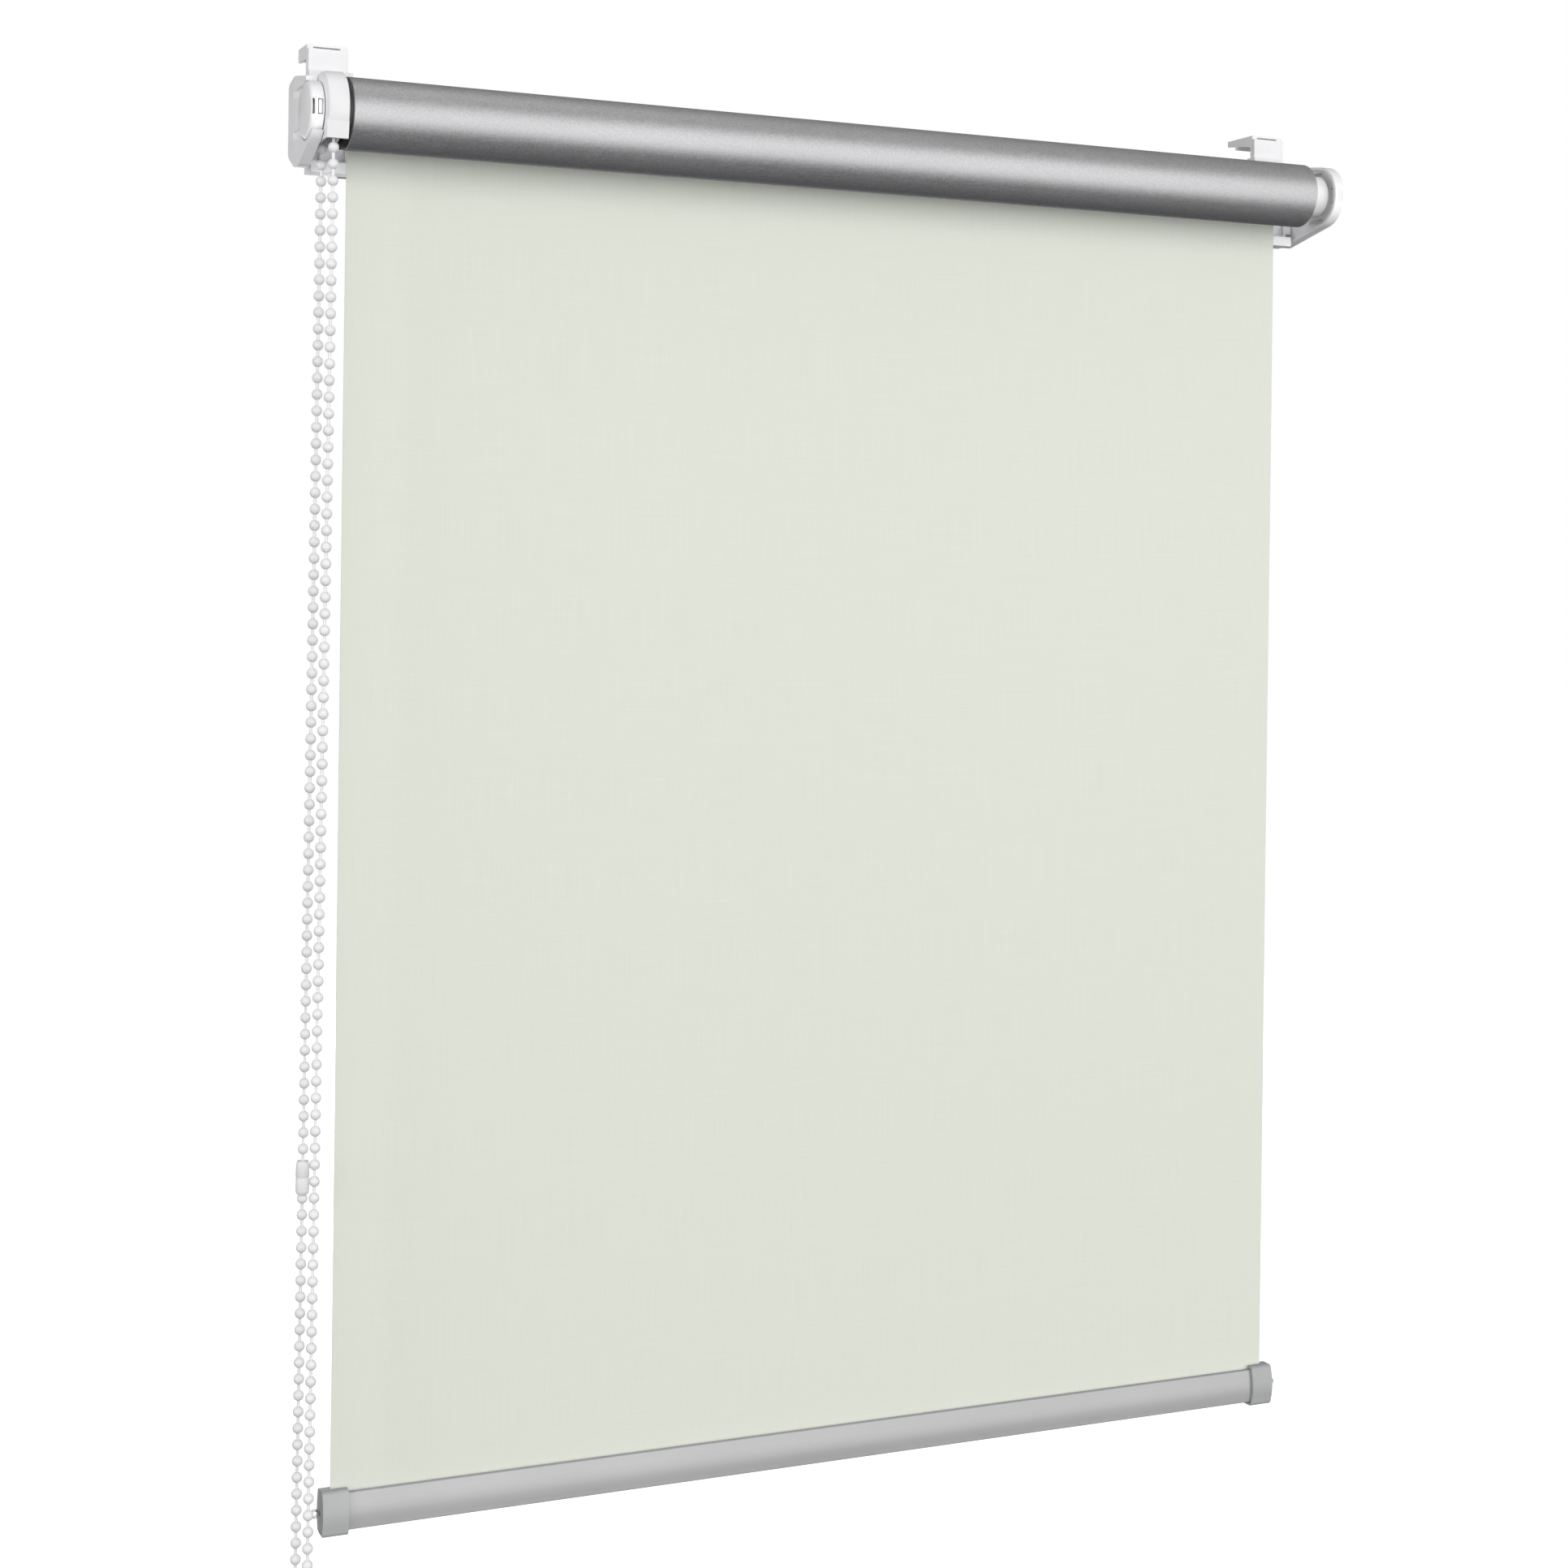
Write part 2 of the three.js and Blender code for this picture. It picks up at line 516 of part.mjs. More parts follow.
function clampNut() {
  const half = NUT_WIDTH / 2;
  const block = box([screwPlace[0] - half, screwPlace[0] + half],
    [screwPlace[1] - half, screwPlace[1] + half], [HOOK_BOTTOM, HOOK_BOTTOM + NUT_HEIGHT]);
  const bore = upright(SCREW_RADIUS + CLEARANCE, [HOOK_BOTTOM - 1, HOOK_BOTTOM + NUT_HEIGHT + 1], screwPlace);
  return cut(block, bore);
}

function sashPad() {
  return box([backInner + 0.4, PAD_OUTER], [PLATE_BACK + CLEARANCE, AXIS_TO_SASH],
    [BRACKET_BOTTOM - CLEARANCE, PAD_TOP]);
}

// ---------------------------------------------------------------- chain drive

// A cup that closes the left bearing. In front its rim reaches down round the side wall.
function bearingCap() {
  const base = leftWallInner + 0.1;
  const [seamIn, seamOut, seamDepth] = CAP_SEAM;
  const edge = CAP_EDGE.map(([back, inwards]) => [capFace - back, CAP_RADIUS - inwards]);
  const cup = turned([
    [capFace - CAP_WALL, 0],
    [capFace - CAP_WALL, CAP_RADIUS - 2 * CAP_WALL],
    [capFace - 2 * CAP_WALL, CAP_RADIUS - CAP_WALL],
    [base, CAP_RADIUS - CAP_WALL],
    [base, CAP_RADIUS],
    [capFace - seamIn - 0.1, CAP_RADIUS],
    [capFace - seamIn, CAP_RADIUS - seamDepth],
    [capFace - seamOut, CAP_RADIUS - seamDepth],
    ...edge.slice(1),
    [capFace, 0],
  ]);
  const seat = box([base - 1, leftWallOuter + CLEARANCE], [CAP_BACK - CLEARANCE, FAR], [-FAR, FAR]);
  const height = [-WINDOW_HEIGHT / 2, WINDOW_HEIGHT / 2];
  const latchWindow = box([base + WINDOW[0], base + WINDOW[1]], [-FAR, 3 * CAP_WALL - CAP_RADIUS], height);
  const edgeSlot = box([capFace - CAP_SLOT[1], capFace - CAP_SLOT[0]], [-FAR, CAP_SLOT_DEPTH - CAP_RADIUS],
    height);
  return cut(cup, seat, latchWindow, edgeSlot);
}

// A drum round the wheel, with straight skirts at the bottom that leave room for the two strands.
function chainGuard() {
  const inner = GUARD_RADIUS - GUARD_WALL;
  const corner = GUARD_ROUND * (1 - Math.SQRT1_2);
  const shell = turned([
    [GUARD_INNER, inner],
    [GUARD_INNER, GUARD_RADIUS - GUARD_EDGE],
    [GUARD_INNER + GUARD_EDGE, GUARD_RADIUS],
    [guardOuter - GUARD_ROUND, GUARD_RADIUS],
    [guardOuter - corner, GUARD_RADIUS - corner],
    [guardOuter, GUARD_RADIUS - GUARD_ROUND],
    [guardOuter, POST_RADIUS + CLEARANCE],
    [guardOuter - GUARD_END_WALL, POST_RADIUS + CLEARANCE],
    [guardOuter - GUARD_END_WALL, inner],
  ]);
  const underside = box([GUARD_INNER - 1, guardOuter + 1], [-FAR, FAR], [-FAR, GUARD_SKIRT_TOP]);
  const top = guardHalfWidth(GUARD_SKIRT_TOP);
  const bottom = PITCH_RADIUS + BEAD_RADIUS + 2 * CLEARANCE + GUARD_WALL;
  const skirts = [-1, 1].map((side) => slab(polygon([
    [side * top, GUARD_SKIRT_TOP + 0.01],
    [side * bottom, GUARD_CUT],
    [side * (bottom - GUARD_WALL), GUARD_CUT],
    [side * (top - GUARD_WALL), GUARD_SKIRT_TOP + 0.01],
  ]), [GUARD_INNER, guardOuter]));
  const apron = slab(polygon([
    [-top, GUARD_SKIRT_TOP + 0.01],
    [-bottom, GUARD_CUT],
    [bottom, GUARD_CUT],
    [top, GUARD_SKIRT_TOP + 0.01],
  ]), [guardOuter - GUARD_END_WALL, guardOuter]);
  const postHole = disc([GUARD_INNER, guardOuter + 1], POST_RADIUS + CLEARANCE);
  return cut(joined(cut(shell, underside), ...skirts, apron), postHole);
}

function guardHalfWidth(z) {
  return Math.sqrt(GUARD_RADIUS ** 2 - z ** 2);
}

function chainWheel() {
  const half = WHEEL_GROOVE / 2;
  const outer = CHAIN_OFFSET + half;
  const inner = CHAIN_OFFSET - half;
  const bed = PITCH_RADIUS - BEAD_RADIUS - CLEARANCE;
  const bore = POST_RADIUS + CLEARANCE;
  const outerFace = guardOuter - GUARD_END_WALL - CLEARANCE;
  return turned([
    [inner - WHEEL_FLANGE, bore],
    [inner - WHEEL_FLANGE, WHEEL_FLANGE_RADIUS],
    [inner, WHEEL_FLANGE_RADIUS],
    [inner, bed],
    [outer, bed],
    [outer, WHEEL_FLANGE_RADIUS],
    [outerFace, WHEEL_FLANGE_RADIUS],
    [outerFace, bore],
  ]);
}

function clutchPost() {
  return turned([
    [-POST_LENGTH, 0],
    [-POST_LENGTH, POST_RADIUS - SMALL_CHAMFER],
    [-POST_LENGTH + SMALL_CHAMFER, POST_RADIUS],
    [leftWallOuter + CLEARANCE, POST_RADIUS],
    [leftWallOuter + CLEARANCE, POST_RADIUS + POST_HEAD],
    [capFace - CAP_WALL - CLEARANCE, POST_RADIUS + POST_HEAD],
    [capFace - CAP_WALL - CLEARANCE, 0],
  ], 32);
}

// A coil of round wire about the axis, from start to end along it.
function coil(start, end, radius, turns, wire) {
  const steps = turns * 12;
  const points = [];
  for (let i = 0; i <= steps; i += 1) {
    const angle = (2 * Math.PI * turns * i) / steps;
    const along = THREE.MathUtils.lerp(start, end, i / steps);
    points.push(new THREE.Vector3(along, radius * Math.cos(angle), radius * Math.sin(angle)));
  }
  return tubeAlong(new THREE.CatmullRomCurve3(points), wire / 2, 5, steps);
}

function wrapSpring(start) {
  const radius = POST_RADIUS + CLEARANCE + SPRING_WIRE / 2;
  return coil(start, start - SPRING_TURNS * SPRING_WIRE * 1.5, radius, SPRING_TURNS, SPRING_WIRE);
}

function drivePlug() {
  const flangeOuter = GUARD_INNER - CLEARANCE;
  return turned([
    [flangeOuter, driveBore],
    [flangeOuter, DRIVE_FLANGE_RADIUS],
    [flangeOuter - DRIVE_FLANGE, DRIVE_FLANGE_RADIUS],
    [flangeOuter - DRIVE_FLANGE, PLUG_RADIUS],
    [-PLUG_LENGTH, PLUG_RADIUS],
    [-PLUG_LENGTH, driveBore],
  ]);
}

// ---------------------------------------------------------------- roller

// The strip's upper corners stay inside the tube's round.
const stripTop = Math.sqrt(TUBE_RADIUS ** 2 - (STRIP_WIDTH / 2) ** 2);

function rollerTube() {
  const half = HALF_ROLL - 0.2;
  const grooveHalf = STRIP_WIDTH / 2 + CLEARANCE;
  const groove = box([-half - 1, half + 1], [-grooveHalf, grooveHalf],
    [stripTop - STRIP_THICKNESS - CLEARANCE, TUBE_RADIUS + 1]);
  return cut(ring([-half, half], TUBE_BORE, TUBE_RADIUS), groove);
}

function fixingStrip() {
  return box([-FABRIC_WIDTH / 2, FABRIC_WIDTH / 2], [-STRIP_WIDTH / 2, STRIP_WIDTH / 2],
    [stripTop - STRIP_THICKNESS, stripTop]);
}

function fabricRoll() {
  return ring([-HALF_ROLL, HALF_ROLL], TUBE_RADIUS + CLEARANCE, ROLL_RADIUS, 48);
}

const collarOuter = IDLE_HUB - PIN_SHOULDER - CLEARANCE;

function idlePlug() {
  const hubOuter = CLEARANCE + IDLE_HUB;
  const chamberEnd = IDLE_HUB - PIN_SHOULDER;
  const pinHole = PIN_RADIUS + CLEARANCE;
  return turned([
    [-PLUG_LENGTH, 0],
    [-PLUG_LENGTH, PLUG_RADIUS],
    [CLEARANCE, PLUG_RADIUS],
    [CLEARANCE, IDLE_HUB_RADIUS],
    [hubOuter - SMALL_CHAMFER, IDLE_HUB_RADIUS],
    [hubOuter, IDLE_HUB_RADIUS - SMALL_CHAMFER],
    [hubOuter, pinHole],
    [chamberEnd, pinHole],
    [chamberEnd, IDLE_BORE],
    [-PLUG_LENGTH + IDLE_FLOOR, IDLE_BORE],
    [-PLUG_LENGTH + IDLE_FLOOR, 0],
  ]);
}

function idlePin() {
  const tailStart = collarOuter - PIN_COLLAR - PIN_TAIL;
  return turned([
    [tailStart, 0],
    [tailStart, PIN_TAIL_RADIUS],
    [collarOuter - PIN_COLLAR, PIN_TAIL_RADIUS],
    [collarOuter - PIN_COLLAR, PIN_COLLAR_RADIUS],
    [collarOuter, PIN_COLLAR_RADIUS],
    [collarOuter, PIN_RADIUS],
    [pinEnd - SMALL_CHAMFER, PIN_RADIUS],
    [pinEnd, PIN_RADIUS - SMALL_CHAMFER],
    [pinEnd, 0],
  ], 24);
}

// The spring sits between the plug's floor and the pin's collar.
function idleSpring() {
  const gap = CLEARANCE + IDLE_WIRE / 2;
  return coil(-PLUG_LENGTH + IDLE_FLOOR + gap, collarOuter - PIN_COLLAR - gap,
    IDLE_BORE - 0.2 - gap, IDLE_TURNS, IDLE_WIRE);
}

function idleBush() {
  const bore = PIN_RADIUS + CLEARANCE;
  const outerEnd = rightOuter - BOSS_SKIN - CLEARANCE;
  return ring([rightInner + BOSS_INNER, outerEnd], bore, bore + BUSH_WALL, 24);
}

// ---------------------------------------------------------------- bottom bar

// Section of the bar in the plane across it, grown outwards by a margin.
function barOutline(grow) {
  const halfHeight = BAR_HEIGHT / 2 + grow;
  const halfEdge = BAR_EDGE / 2 + grow;
  const bow = halfEdge + BAR_BULGE;
  const corner = Math.min(BAR_CORNER + grow, halfEdge);
  const outline = new THREE.Shape();
  outline.moveTo(-halfEdge, -halfHeight + corner);
  outline.quadraticCurveTo(-bow - BAR_BULGE * 0.6, 0, -halfEdge, halfHeight - corner);
  outline.quadraticCurveTo(-halfEdge, halfHeight, -halfEdge + corner, halfHeight);
  outline.lineTo(halfEdge - corner, halfHeight);
  outline.quadraticCurveTo(halfEdge, halfHeight, halfEdge, halfHeight - corner);
  outline.quadraticCurveTo(bow + BAR_BULGE * 0.6, 0, halfEdge, -halfHeight + corner);
  outline.quadraticCurveTo(halfEdge, -halfHeight, halfEdge - corner, -halfHeight);
  outline.lineTo(-halfEdge + corner, -halfHeight);
  outline.quadraticCurveTo(-halfEdge, -halfHeight, -halfEdge, -halfHeight + corner);
  return outline;
}

const hemCentre = BAR_HEIGHT / 2 - BAR_WALL - HEM_RADIUS - 2 * CLEARANCE;
const barHalf = FABRIC_WIDTH / 2 + BAR_LONGER;
const capInner = FABRIC_WIDTH / 2 + END_CAP_OVERHANG - END_CAP_LENGTH;
const capOuter = FABRIC_WIDTH / 2 + END_CAP_OVERHANG;

function atBar(shape) {
  return shape.translate([0, SHEET_Y, BAR_CENTRE_Z]);
}

function bottomBar() {
  const outside = slab(barOutline(0), [-barHalf, barHalf], 6);
  const along = [-barHalf - 1, barHalf + 1];
  const chamber = disc(along, HEM_RADIUS + 2 * CLEARANCE, 16).translate([0, 0, hemCentre]);
  const slot = box(along, [-BAR_SLOT / 2, BAR_SLOT / 2], [hemCentre, BAR_HEIGHT]);
  const roomTop = hemCentre - HEM_RADIUS - 2 * CLEARANCE - BAR_WALL;
  const room = box(along, [-BAR_EDGE / 2 + BAR_WALL, BAR_EDGE / 2 - BAR_WALL],
    [-BAR_HEIGHT / 2 + BAR_WALL, roomTop]);
  return atBar(cut(outside, chamber, slot, room));
}

function hemRod() {
  return atBar(disc([-FABRIC_WIDTH / 2, FABRIC_WIDTH / 2], HEM_RADIUS, 16).translate([0, 0, hemCentre]));
}

function endCap(side) {
  const body = slab(barOutline(END_CAP_WALL + CLEARANCE), [capInner, capOuter], 6);
  const pocket = slab(barOutline(CLEARANCE), [capInner - 1, barHalf + CLEARANCE], 6);
  const sheetSlot = box([capInner - 1, FABRIC_WIDTH / 2 + CLEARANCE], [-BAR_SLOT / 2, BAR_SLOT / 2],
    [0, BAR_HEIGHT]);
  const chamfer = polygon([
    [capOuter - END_CAP_CHAMFER, -BAR_HEIGHT],
    [capOuter + 1, -BAR_HEIGHT],
    [capOuter + 1, -BAR_HEIGHT / 2 + END_CAP_CHAMFER + 1],
  ]);
  const eyeHole = disc([barHalf, capOuter + 1], EYELET_WIRE + CLEARANCE, 16);
  const slant = new THREE.ExtrudeGeometry(chamfer, { depth: BAR_HEIGHT, bevelEnabled: false });
  slant.rotateX(Math.PI / 2);
  slant.translate(0, BAR_HEIGHT / 2, 0);
  const shaped = cut(body, pocket, sheetSlot, solid(slant), eyeHole);
  return atBar(side > 0 ? shaped : shaped.mirror([1, 0, 0]));
}

function eyelet(side) {
  const start = barHalf + CLEARANCE + 0.5;
  const ringCentre = capOuter + EYELET_REACH - EYELET_RING - EYELET_WIRE;
  const shank = disc([start, ringCentre - EYELET_RING + 0.2], EYELET_WIRE, 12);
  const eye = new THREE.TorusGeometry(EYELET_RING, EYELET_WIRE, 8, 20);
  eye.rotateX(Math.PI / 2);
  eye.translate(ringCentre, 0, 0);
  const shape = joined(shank, solid(eye));
  return atBar(side > 0 ? shape : shape.mirror([1, 0, 0]));
}

function fabricSheet() {
  const bottom = BAR_CENTRE_Z + hemCentre + HEM_RADIUS + CLEARANCE;
  return box([-FABRIC_WIDTH / 2, FABRIC_WIDTH / 2],
    [SHEET_Y - FABRIC_THICKNESS / 2, SHEET_Y + FABRIC_THICKNESS / 2], [bottom, -SHEET_START]);
}

// ---------------------------------------------------------------- chain

// Centre of a strand at a drop below the axis. side is -1 for the front strand and 1 for the rear one.
function strandPoint(side, drop) {
  return new THREE.Vector3(CHAIN_X - CHAIN_LEAN * drop, side * PITCH_RADIUS, -drop);
}

// The front strand, the bend at the bottom and the rear strand, as one tube.
function chainLoop() {
  const steps = 12;
  const points = [];
  for (let i = 0; i < steps; i += 1) {
    points.push(strandPoint(-1, THREE.MathUtils.lerp(CLEARANCE, CHAIN_DROP, i / steps)));
  }
  for (let i = 0; i <= steps; i += 1) {
    const angle = (Math.PI * i) / steps;
    const place = strandPoint(-Math.cos(angle), CHAIN_DROP);
    points.push(place.setZ(place.z - PITCH_RADIUS * Math.sin(angle)));
  }
  for (let i = 1; i <= steps; i += 1) {
    points.push(strandPoint(1, THREE.MathUtils.lerp(CHAIN_DROP, CLEARANCE, i / steps)));
  }
  return tubeAlong(new THREE.CatmullRomCurve3(points), STRAND_RADIUS, 8, 96);
}

function chainOverWheel() {
  const points = [];
  for (let i = 0; i <= 16; i += 1) {
    const angle = Math.PI - (Math.PI * i) / 16;
    points.push(new THREE.Vector3(CHAIN_X, PITCH_RADIUS * Math.cos(angle), PITCH_RADIUS * Math.sin(angle)));
  }
  return tubeAlong(new THREE.CatmullRomCurve3(points), STRAND_RADIUS, 8, 16);
}

// A sleeve round the rear strand, along which it can slide.
function chainConnector() {
  const half = CONNECTOR_LENGTH / 2;
  const bore = STRAND_RADIUS + CLEARANCE;
  const [narrower, shorter] = CONNECTOR_CHAMFER;
  const sleeve = turned([
    [-half, bore],
    [-half, CONNECTOR_RADIUS - narrower],
    [shorter - half, CONNECTOR_RADIUS],
    [half - shorter, CONNECTOR_RADIUS],
    [half, CONNECTOR_RADIUS - narrower],
    [half, bore],
  ], 20);
  const lean = 90 + THREE.MathUtils.radToDeg(Math.atan(CHAIN_LEAN));
  return sleeve.rotate([0, lean, 0]).translate(strandPoint(1, CONNECTOR_DROP).toArray());
}

// ---------------------------------------------------------------- assembly

const blind = new THREE.Group();
blind.position.y = -AXIS_TO_SASH;

blind.add(
  node('left_bracket', atEnd(-1, leftBracket()), whitePlastic),
  node('right_bracket', atEnd(1, rightBracket()), whitePlastic),
  node('bearing_cap', atEnd(-1, bearingCap()), whitePlastic),
  node('chain_guard', atEnd(-1, chainGuard()), whitePlastic),
  node('clutch_post', atEnd(-1, clutchPost()), whitePlastic),
  node('idle_bush', atEnd(1, idleBush()), blackPlastic),
);

for (const [side, label] of [[-1, 'left'], [1, 'right']]) {
  blind.add(
    node(`${label}_clamp_hook`, atEnd(side, clampHook()), whitePlastic),
    node(`${label}_clamp_screw`, atEnd(side, clampScrew()), steel),
    node(`${label}_clamp_nut`, atEnd(side, clampNut()), steel),
    node(`${label}_sash_pad`, atEnd(side, sashPad()), foam),
    node(`${label}_end_cap`, endCap(side), greyPlastic),
    node(`${label}_eyelet`, eyelet(side), steel),
  );
}

blind.add(
  node('chain_wheel', atEnd(-1, chainWheel()), whitePlastic),
  node('drive_plug', atEnd(-1, drivePlug()), blackPlastic),
  node('roller_tube', rollerTube(), aluminium),
  node('fabric_fixing_strip', fixingStrip(), whitePlastic),
  node('fabric_roll', fabricRoll(), silverFabric),
  node('idle_plug', atEnd(1, idlePlug()), whitePlastic),
  node('idle_pin', atEnd(1, idlePin()), steel),
  node('idle_spring', atEnd(1, idleSpring()), steel),
);

SPRING_STARTS.forEach((start, index) => {
  blind.add(node(`wrap_spring_${index + 1}`, atEnd(-1, wrapSpring(start)), steel));
});

blind.add(
  node('fabric_sheet', fabricSheet(), creamFabric),
  node('bottom_bar', bottomBar(), aluminium),
  node('hem_rod', hemRod(), whitePlastic),
  node('chain_loop', chainLoop(), whitePlastic),
  node('chain_over_wheel', chainOverWheel(), whitePlastic),
  node('chain_connector', chainConnector(), whitePlastic),
);

export default blind;
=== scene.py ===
"""Looks of the clamp-on roller blind, in metres, in the frame of its CAD model.

X runs along the roller, +Y points to the window and +Z is up. The origin lies on the window
sash's face, at the height of the roller's axis. The camera looks at the side away from the window.
"""

import math

import bpy
from mathutils import Matrix, Vector, noise


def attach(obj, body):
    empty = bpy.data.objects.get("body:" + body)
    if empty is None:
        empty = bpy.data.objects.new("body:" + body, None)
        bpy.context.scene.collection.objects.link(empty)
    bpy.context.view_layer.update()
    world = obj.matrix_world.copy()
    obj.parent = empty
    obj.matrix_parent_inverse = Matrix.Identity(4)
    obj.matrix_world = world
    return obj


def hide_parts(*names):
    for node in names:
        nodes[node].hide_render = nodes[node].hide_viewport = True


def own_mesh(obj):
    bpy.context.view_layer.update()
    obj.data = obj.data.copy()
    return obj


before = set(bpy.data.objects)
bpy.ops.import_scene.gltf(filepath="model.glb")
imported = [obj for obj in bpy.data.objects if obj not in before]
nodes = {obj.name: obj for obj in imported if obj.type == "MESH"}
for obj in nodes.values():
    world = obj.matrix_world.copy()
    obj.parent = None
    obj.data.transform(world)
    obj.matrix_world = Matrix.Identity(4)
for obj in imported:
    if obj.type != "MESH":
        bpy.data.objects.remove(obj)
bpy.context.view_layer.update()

MM = 0.001

# ---------------------------------------------------------------- sizes shared with the CAD model

AXIS_Y = -28.2 * MM
ROLL_LENGTH = 418.6 * MM
ROLL_RADIUS = 13.5 * MM
CORE_RADIUS = 9.3 * MM
FABRIC_WIDTH = 410 * MM
FABRIC_THICKNESS = 0.4 * MM
HALF_SHEET = 0.475 * FABRIC_THICKNESS    # thin enough for the turns on the roll to lie side by side
SHEET_Y = AXIS_Y + ROLL_RADIUS - FABRIC_THICKNESS / 2
SHEET_END = -509.5 * MM

BEAD_PITCH = 6 * MM
BEAD_RADIUS = 2 * MM
STRING_RADIUS = 0.6 * MM
CHAIN_POCKETS = 9
CHAIN_X = -ROLL_LENGTH / 2 - 6.1 * MM
CHAIN_LEAN = 0.0063
CHAIN_START = 0.3 * MM
CHAIN_DROP = 641.3 * MM
FIRST_BEAD_HANGING = 1.8 * MM
FIRST_BEAD_ON_WHEEL = 3.9 * MM
PITCH_RADIUS = BEAD_PITCH / (2 * math.sin(math.pi / CHAIN_POCKETS))
CONNECTOR_DROP = 388.4 * MM
CONNECTOR_LENGTH = 12 * MM
CONNECTOR_RADIUS = 2.5 * MM
CONNECTOR_BORE = 2.1 * MM
CONNECTOR_CHAMFER = 0.45 * MM
CONNECTOR_SEAM = 0.12 * MM

FLOOR_Z = -0.662
FLOOR_REACH = 9

CAMERA_PLACE = (-0.44846, -0.95587, -0.16731)
CAMERA_TURN = -24.246
CAMERA_ROLL = 0.709

# ---------------------------------------------------------------- camera


def make_camera():
    """Level camera left of the middle, turned towards the right and rolled very slightly."""
    data = bpy.data.cameras.new("camera")
    data.lens = 59.55
    data.sensor_width = 36
    data.shift_x = -0.0016
    data.shift_y = -0.1310
    data.clip_start = 0.01
    camera = bpy.data.objects.new("camera", data)
    turn = Matrix.Rotation(math.radians(CAMERA_TURN), 4, "Z")
    level = Matrix.Rotation(math.radians(90), 4, "X")
    roll = Matrix.Rotation(math.radians(CAMERA_ROLL), 4, "Z")
    camera.matrix_world = Matrix.Translation(CAMERA_PLACE) @ turn @ level @ roll
    bpy.context.scene.collection.objects.link(camera)
    bpy.context.scene.camera = camera


# ---------------------------------------------------------------- material helpers


class Nodes:
    """A node tree being built, with short calls for the nodes used here."""

    def __init__(self, name):
        self.material = bpy.data.materials.new(name)
        self.material.use_nodes = True
        self.tree = self.material.node_tree
        self.shader = self.tree.nodes["Principled BSDF"]

    def add(self, kind, **settings):
        made = self.tree.nodes.new(kind)
        for key, value in settings.items():
            setattr(made, key, value)
        return made

    def link(self, output, target):
        self.tree.links.new(output, target)

    def set(self, **values):
        """Values on the shader's own sockets, such as Roughness=0.4 or Coat_Weight=0.2."""
        for key, value in values.items():
            self.shader.inputs[key.replace("_", " ")].default_value = value

    def place(self):
        return self.add("ShaderNodeTexCoord").outputs["Object"]

    def stretched(self, place, scale):
        """Coordinates scaled by a different number along each axis."""
        mapping = self.add("ShaderNodeMapping")
        mapping.inputs["Scale"].default_value = scale
        self.link(place, mapping.inputs["Vector"])
        return mapping.outputs["Vector"]

    def noise(self, place, scale, detail=2.0, roughness=0.5):
        made = self.add("ShaderNodeTexNoise")
        made.inputs["Scale"].default_value = scale
        made.inputs["Detail"].default_value = detail
        made.inputs["Roughness"].default_value = roughness
        self.link(place, made.inputs["Vector"])
        return made.outputs["Fac"]

    def wave(self, place, direction, period):
        """A smooth ripple with the given period in metres along one axis."""
        made = self.add("ShaderNodeTexWave", wave_type="BANDS", bands_direction=direction)
        own_period = 2 * math.pi / 20
        made.inputs["Scale"].default_value = own_period / period
        self.link(place, made.inputs["Vector"])
        return made.outputs["Fac"]

    def combine(self, operation, first, second):
        """A sum or product. The second value may be a plain number."""
        made = self.add("ShaderNodeMath", operation=operation)
        self.link(first, made.inputs[0])
        if isinstance(second, float):
            made.inputs[1].default_value = second
        else:
            self.link(second, made.inputs[1])
        return made.outputs[0]

    def spread(self, value, low, high, to_low, to_high):
        """value taken from the range low..high to the range to_low..to_high, smoothly and clamped."""
        made = self.add("ShaderNodeMapRange", interpolation_type="SMOOTHSTEP")
        for key, number in (("From Min", low), ("From Max", high), ("To Min", to_low), ("To Max", to_high)):
            made.inputs[key].default_value = number
        self.link(value, made.inputs["Value"])
        return made.outputs["Result"]

    def colours(self, value, *stops):
        """A colour ramp. Each stop is (position, (r, g, b))."""
        made = self.add("ShaderNodeValToRGB")
        elements = made.color_ramp.elements
        while len(elements) < len(stops):
            elements.new(1.0)
        for element, (position, colour) in zip(elements, stops):
            element.position = position
            element.color = (*colour, 1)
        self.link(value, made.inputs["Fac"])
        return made.outputs["Color"]

    def bump(self, height, distance, strength=1.0, normal=None):
        made = self.add("ShaderNodeBump")
        made.inputs["Distance"].default_value = distance
        made.inputs["Strength"].default_value = strength
        self.link(height, made.inputs["Height"])
        if normal is not None:
            self.link(normal, made.inputs["Normal"])
        return made.outputs["Normal"]

    def separate(self, place):
        made = self.add("ShaderNodeSeparateXYZ")
        self.link(place, made.inputs["Vector"])
        return made.outputs


# ---------------------------------------------------------------- materials


def moulded_plastic(name, colour, roughness, grain=0.02 * MM):
    """Injection-moulded plastic: fine spark-eroded grain, slow flow marks and a slightly uneven gloss."""
    m = Nodes(name)
    place = m.place()
    flow = m.noise(place, 90, 3)
    darker = tuple(c * 0.955 for c in colour)
    m.link(m.colours(flow, (0.35, darker), (0.65, colour)), m.shader.inputs["Base Color"])
    fine = m.noise(place, 5200, 2)
    m.link(m.spread(flow, 0.3, 0.7, roughness - 0.05, roughness + 0.06), m.shader.inputs["Roughness"])
    m.link(m.bump(fine, grain), m.shader.inputs["Normal"])
    m.set(IOR=1.49, Specular_IOR_Level=0.45)
    return m.material


def milky(material, weight, radius, scale):
    """Lets a little light through a white plastic."""
    inputs = material.node_tree.nodes["Principled BSDF"].inputs
    inputs["Subsurface Weight"].default_value = weight
    inputs["Subsurface Radius"].default_value = radius
    inputs["Subsurface Scale"].default_value = scale
    return material


